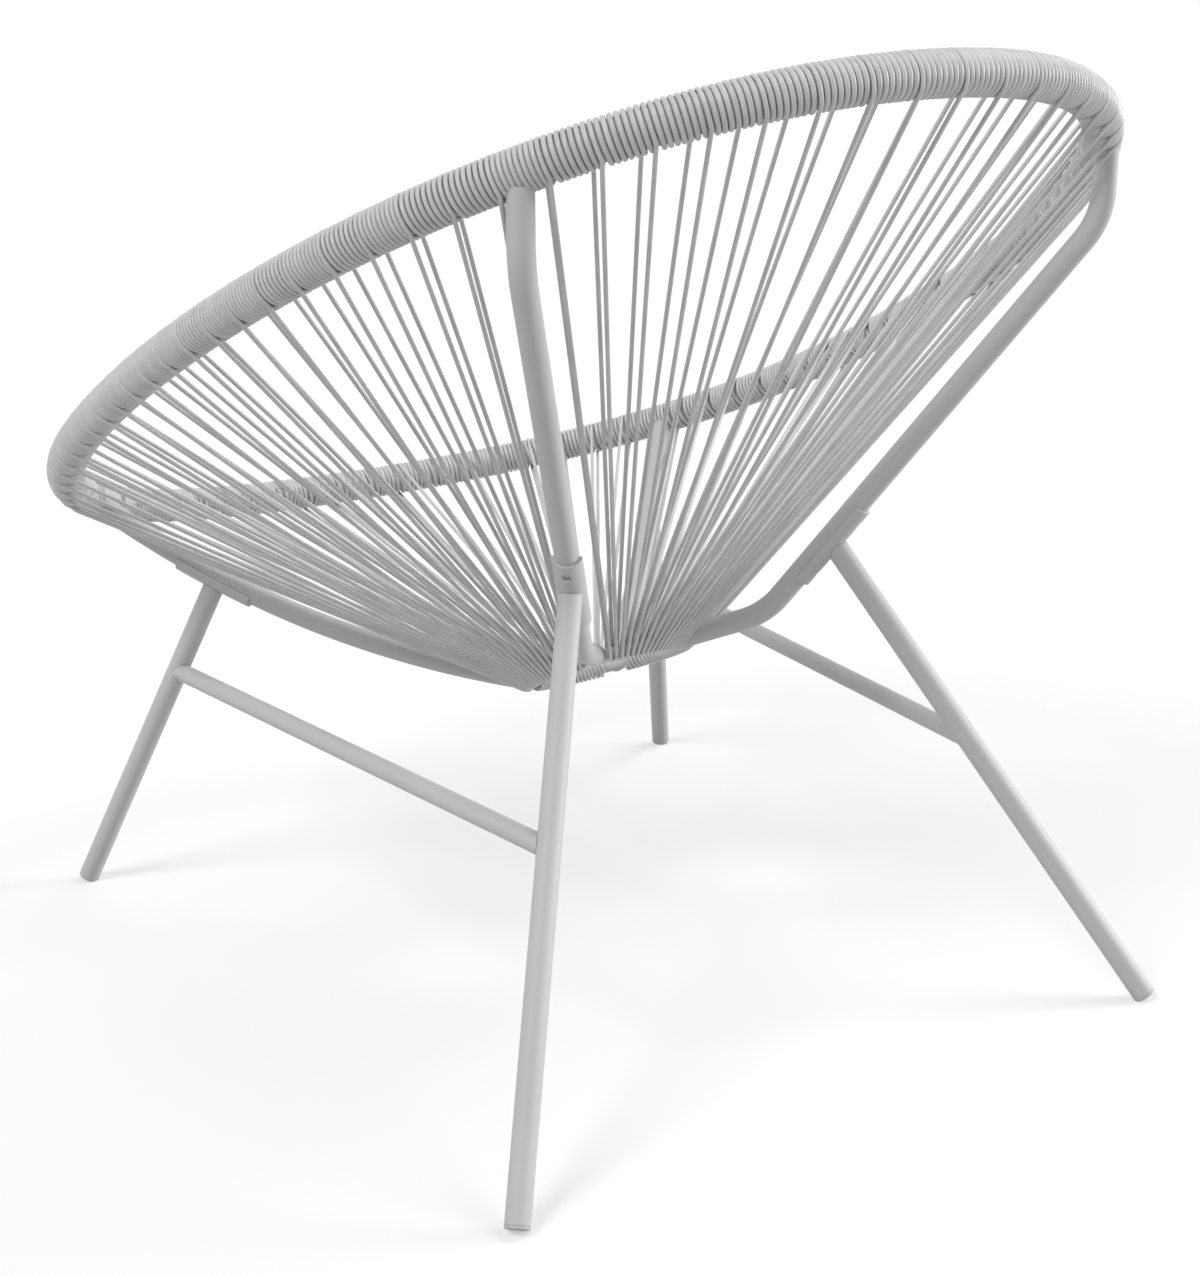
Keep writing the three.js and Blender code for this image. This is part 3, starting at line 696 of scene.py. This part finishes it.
pairsPerBarrel = lacing["pairs"] // winding["count"]
for i in range(winding["count"]):
    start, end = i * pairsPerBarrel - 0.5, (i + 1) * pairsPerBarrel - 0.5
    steps = winding["rowsPerPair"]
    even = [s / steps for s in range(math.ceil(start * steps), math.ceil(end * steps))]
    stations = sorted({start, end, *even, *(s for s, _ in turnCorners if start < s < end)})
    points, away, outer = zip(*(rimFrame(s) for s in stations))
    line = lineMesh("rimWinding", points, away=away, outer=outer,
                    turns=[turnsAt(s) for s in stations],
                    width=[turnPitch(s) * winding["filling"] for s in stations])
    piece = runTree("rimWinding%02d" % (i + 1), line, coilTree, {
        "Outer radius": winding["outerRadius"], "Step length": winding["stepLength"],
        "Sides": winding["sides"], "Material": cordMaterial,
    })
    keep(piece, "winding", "rim_winding_%02d" % (i + 1))
print("rim wound:", round(turnCorners[-1][1]), "turns")


# Saddles, legs, stretchers, plugs and screws
saddle = {
    "inside": 9.5 * mm, "wall": 2.6 * mm, "steps": 16, "arcSteps": 24, "bevel": 0.5 * mm,
    "legCutSides": 64,
}
stretcher = {"diameter": 16.2 * mm, "up": 222 * mm, "sides": 40}
plug = {
    "head": 2.5 * mm, "chamfer": 0.8 * mm, "roundShares": (0.15, 0.6), "groove": 0.15 * mm,
    "shoulder": 0.3 * mm, "stemInset": 2 * mm, "stem": 20 * mm, "flat": 1.2 * mm, "sides": 48,
    "ground": 60 * mm,
}
screw = {
    "offset": 27 * mm, "sides": 24, "length": 6 * mm,
    "head": 3.9 * mm, "headSunk": 0.7 * mm, "headEdge": 0.3 * mm, "faceInset": 0.9 * mm,
    "sideInset": 0.7 * mm, "shankInset": 1.2 * mm, "shankStart": 3 * mm,
    "socket": 2.3 * mm, "socketTop": 0.9 * mm, "depth": 1.7 * mm, "floorShares": (0.75, 0.8),
    "countersink": 4.5 * mm, "cone": 1.6 * mm, "overrun": 2 * mm, "probe": 1 * mm,
}
bevels = {"segments": 3, "angle": 40}
outside = saddle["inside"] + saddle["wall"]


def meshPiece(name, points, faces, material):
    mesh = bpy.data.meshes.new(name)
    mesh.from_pydata([tuple(p) for p in points], [], faces)
    mesh.materials.append(material)
    piece = bpy.data.objects.new(name, mesh)
    bpy.context.scene.collection.objects.link(piece)
    return piece


def finished(piece, cutters=(), bevel=None):
    # cuts and bevels a mesh with modifiers, and keeps the result
    for cutter in cutters:
        cut = piece.modifiers.new("cut", "BOOLEAN")
        cut.operation = "DIFFERENCE"
        cut.solver = "EXACT"
        cut.object = cutter
    if bevel:
        edge = piece.modifiers.new("edge", "BEVEL")
        edge.width = bevel
        edge.segments = bevels["segments"]
        edge.limit_method = "ANGLE"
        edge.angle_limit = math.radians(bevels["angle"])
    name = piece.name
    piece.name = name + "Rough"
    made = settle(name, piece)
    smooth(made, sharpAngles["cut"])
    for cutter in cutters:
        bpy.data.objects.remove(cutter)
    return made


def swept(name, frames, section):
    # frames are (point, x, y); x cross y is the way ahead
    sides = len(section)
    points = [p + x * a + y * b for p, x, y in frames for a, b in section]
    faces = []
    for f in range(1, len(frames)):
        a, b = (f - 1) * sides, f * sides
        faces += [(a + s, a + (s + 1) % sides, b + (s + 1) % sides, b + s) for s in range(sides)]
    last = (len(frames) - 1) * sides
    faces += [tuple(reversed(range(sides))), tuple(range(last, last + sides))]
    return meshPiece(name, points, faces, coatMaterial)


def lathed(name, profile, sides, point, ahead, material):
    # turns (radius, height) pairs round an axis; the first and last lie on it
    spin = up.rotation_difference(ahead)
    x, y = spin @ Vector((1, 0, 0)), spin @ Vector((0, 1, 0))
    points = [point + ahead * profile[0][1]]
    for r, h in profile[1:-1]:
        for s in range(sides):
            angle = 2 * math.pi * s / sides
            points.append(point + ahead * h + (x * math.cos(angle) + y * math.sin(angle)) * r)
    points.append(point + ahead * profile[-1][1])
    end = len(points) - 1
    faces = [(0, 1 + (s + 1) % sides, 1 + s) for s in range(sides)]
    for ring in range(len(profile) - 3):
        a, b = 1 + ring * sides, 1 + (ring + 1) * sides
        faces += [(a + s, a + (s + 1) % sides, b + (s + 1) % sides, b + s) for s in range(sides)]
    a = end - sides
    faces += [(a + s, a + (s + 1) % sides, end) for s in range(sides)]
    return meshPiece(name, points, faces, material)


def planeFrames(path, direction):
    # frames for swept along a path in an upright plane
    found = []
    for i, p in enumerate(path):
        before, after = path[max(i - 1, 0)], path[min(i + 1, len(path) - 1)]
        slope = (after - before).normalized()
        ahead = direction * slope.x + up * slope.y
        y = up * slope.x - direction * slope.y
        found.append((hub + direction * p.x + up * p.y, y.cross(ahead), y))
    return found


def straightFrames(start, ahead, distances):
    x = ahead.cross(up).normalized()
    return [(start + ahead * d, x, ahead.cross(x)) for d in distances]


def arc(radius, first, last, steps):
    angles = [first + (last - first) * s / steps for s in range(steps + 1)]
    return [(radius * math.cos(angle), radius * math.sin(angle)) for angle in angles]


def circleOf(diameter, sides):
    return arc(diameter / 2, 0, 2 * math.pi, sides)[:-1]


def saddleSection():
    outer = arc(outside, math.pi, 2 * math.pi, saddle["arcSteps"])
    return outer + arc(saddle["inside"], 2 * math.pi, math.pi, saddle["arcSteps"])


def sinkProfile():
    wide, cone, over, length = (screw[key] for key in ("countersink", "cone", "overrun", "length"))
    return [
        (0, -over), (wide + over, -over), (wide, 0), (wide - cone, cone), (wide - cone, length), (0, length),
    ]


def screwProfile():
    # from the socket's floor up its wall, over the head's face and down the shank
    socket, top, depth = screw["socket"], screw["socketTop"], screw["depth"]
    head, sunk, edge = screw["head"], screw["headSunk"], screw["headEdge"]
    shank = head - screw["shankInset"]
    flat, wall = screw["floorShares"]
    return [
        (0, top + depth), (socket * flat, top + depth), (socket, top + depth * wall),
        (socket, sunk + edge), (socket + edge, sunk), (head - screw["faceInset"], sunk),
        (head - screw["sideInset"], sunk + edge), (shank, screw["shankStart"]),
        (shank, screw["length"]), (0, screw["length"]),
    ]


def plugProfile():
    # from the middle of the underside, round the chamfer, over the head and up the stem
    radius, chamfer, head, shoulder = leg["diameter"] / 2, plug["chamfer"], plug["head"], plug["shoulder"]
    stem = radius - plug["stemInset"]
    low, high = plug["roundShares"]
    return [
        (0, 0), (radius - chamfer, 0), (radius - chamfer * high, chamfer * low),
        (radius - chamfer * low, chamfer * high), (radius, chamfer), (radius, head - shoulder),
        (radius - shoulder, head), (stem, head), (stem, head + plug["stem"]), (0, head + plug["stem"]),
    ]


legCutters = []
for corner in corners:
    path, direction, reach = corner["path"], corner["direction"], corner["tube"]["saddleReach"]
    half = corner["tube"]["saddleLength"] / 2
    offsets = [-half + 2 * half * s / saddle["steps"] for s in range(saddle["steps"] + 1)]
    frames = planeFrames(stretch(path, reach, offsets), direction)
    places = []
    for offset in (screw["offset"], -screw["offset"]):
        around = stretch(path, reach, (offset - screw["probe"], offset, offset + screw["probe"]))
        point, _, y = planeFrames(around, direction)[1]
        places.append((point - y * outside, y))
    sinks = [lathed("sink", sinkProfile(), screw["sides"], point, y, coatMaterial) for point, y in places]
    rough = swept(corner["name"] + "Saddle", frames, saddleSection())
    keep(finished(rough, sinks, saddle["bevel"]), "frame", corner["node"] + "_saddle")
    for i, (point, y) in enumerate(places):
        name = corner["name"] + "Screw" + str(i + 1)
        head = lathed(name, screwProfile(), screw["sides"], point, y, zincMaterial)
        smooth(head, sharpAngles["turned"])
        keep(head, "screws", corner["node"] + "_screw_" + str(i + 1))
    hugging = circleOf(2 * (outside + leg["seam"]), saddle["legCutSides"])
    legCutters.append(swept("legCut", frames, hugging))
print("saddles and screws made")

for corner, cutter in zip(corners, legCutters):
    ahead = corner["ahead"]
    lean = math.sqrt(1 - ahead.z ** 2)
    footHeight = (leg["diameter"] / 2 * lean - plug["flat"]) / ahead.z
    heel = corner["foot"] + ahead * footHeight
    ends = [plug["head"] + plug["groove"], (corner["top"] - heel).length]
    rough = swept(corner["name"] + "Leg", straightFrames(heel, ahead, ends),
                  circleOf(leg["diameter"], leg["sides"]))
    keep(finished(rough, [cutter], leg["bevel"]), "frame", corner["node"] + "_leg")
    rough = lathed(corner["name"] + "FootPlug", plugProfile(), plug["sides"], heel, ahead, plugMaterial)
    bpy.ops.mesh.primitive_cube_add(
        size=plug["ground"], location=corner["foot"] - up * plug["ground"] / 2)
    keep(finished(rough, [bpy.context.object]), "plugs", corner["node"] + "_foot_plug")

for side, hand in ((1, "left"), (-1, "right")):
    pair = [corner for corner in corners if corner["side"] == side]
    back, front = [c["foot"] + c["ahead"] * stretcher["up"] / c["ahead"].z for c in pair]
    ahead = (back - front).normalized()
    rough = swept(hand + "Stretcher", straightFrames(front, ahead, [0, (back - front).length]),
                  circleOf(stretcher["diameter"], stretcher["sides"]))
    hole = circleOf(leg["diameter"] + 2 * leg["seam"], leg["sides"])
    cutters = []
    for corner in pair:
        length = (corner["top"] - corner["foot"]).length
        cutters.append(swept(
            "stretcherCut", straightFrames(corner["foot"], corner["ahead"], [0, length]), hole))
    keep(finished(rough, cutters, leg["bevel"]), "frame", hand + "_stretcher")
print("legs, plugs and stretchers made")


# Floor, world and lamps
floorSizes = {"width": 14.0, "colour": "#c0c0c0", "lift": 0.43}
worldSizes = {"ambient": 0.42, "background": 1.0, "colour": "#ffffff"}
lampSoftness = 25
lamps = {
    "keyRight": {"turn": 102, "rise": 10, "strength": 2.35},
    "fillLeft": {"turn": -45, "rise": 46, "strength": 1.6},
    "topSoft": {"turn": 110, "rise": 58, "strength": 0.85},
}


def seenDirectly(tree):
    # one for rays that show the surface itself, straight, in a reflection or through glass
    rays = addNode(tree, "ShaderNodeLightPath").outputs
    direct = maths(tree, "MAXIMUM", rays["Is Camera Ray"], rays["Is Glossy Ray"])
    return maths(tree, "MAXIMUM", direct, rays["Is Transmission Ray"])


def paleFloor():
    # Pale grey board. The camera and reflections see it lifted to white, with the shadow kept.
    material, tree = newMaterial("paleBoard")
    lift = maths(tree, "MULTIPLY", seenDirectly(tree), floorSizes["lift"])
    paint = addNode(tree, "ShaderNodeBsdfDiffuse", {"Color": linear(floorSizes["colour"])})
    glow = addNode(tree, "ShaderNodeEmission", {"Color": linear(worldSizes["colour"]), "Strength": lift})
    both = addNode(tree, "ShaderNodeAddShader", {0: paint.outputs["BSDF"], 1: glow.outputs["Emission"]})
    addNode(tree, "ShaderNodeOutputMaterial", {"Surface": both.outputs["Shader"]})
    return material


def plainSky(tree, strength):
    sky = addNode(tree, "ShaderNodeBackground", {
        "Color": linear(worldSizes["colour"]), "Strength": strength,
    })
    return sky.outputs["Background"]


bpy.ops.mesh.primitive_plane_add(size=floorSizes["width"])
floor = bpy.context.object
floor.name = "floor"
floor.data.materials.append(paleFloor())

world = bpy.data.worlds.new("studio")
bpy.context.scene.world = world
world.use_nodes = True
tree = world.node_tree
tree.nodes.clear()
mixed = addNode(tree, "ShaderNodeMixShader", {
    0: seenDirectly(tree),
    1: plainSky(tree, worldSizes["ambient"]), 2: plainSky(tree, worldSizes["background"]),
})
addNode(tree, "ShaderNodeOutputWorld", {"Surface": mixed.outputs["Shader"]})


def softSun(name, turn, rise, strength):
    # a wide soft sun, so that the floor is lit evenly; it is turned from the camera towards its right
    data = bpy.data.lights.new(name, "SUN")
    data.energy = strength
    data.angle = math.radians(lampSoftness)
    light = bpy.data.objects.new(name, data)
    heading, height = math.radians(cameraPlace["heading"] - 90 + turn), math.radians(rise)
    level = Vector((math.cos(heading), math.sin(heading), 0))
    towards = level * math.cos(height) + up * math.sin(height)
    light.rotation_euler = towards.to_track_quat("Z", "Y").to_euler()
    bpy.context.scene.collection.objects.link(light)


for name, sizes in lamps.items():
    softSun(name, **sizes)

scene = bpy.context.scene
scene.view_settings.view_transform = "Standard"
print("stage set")
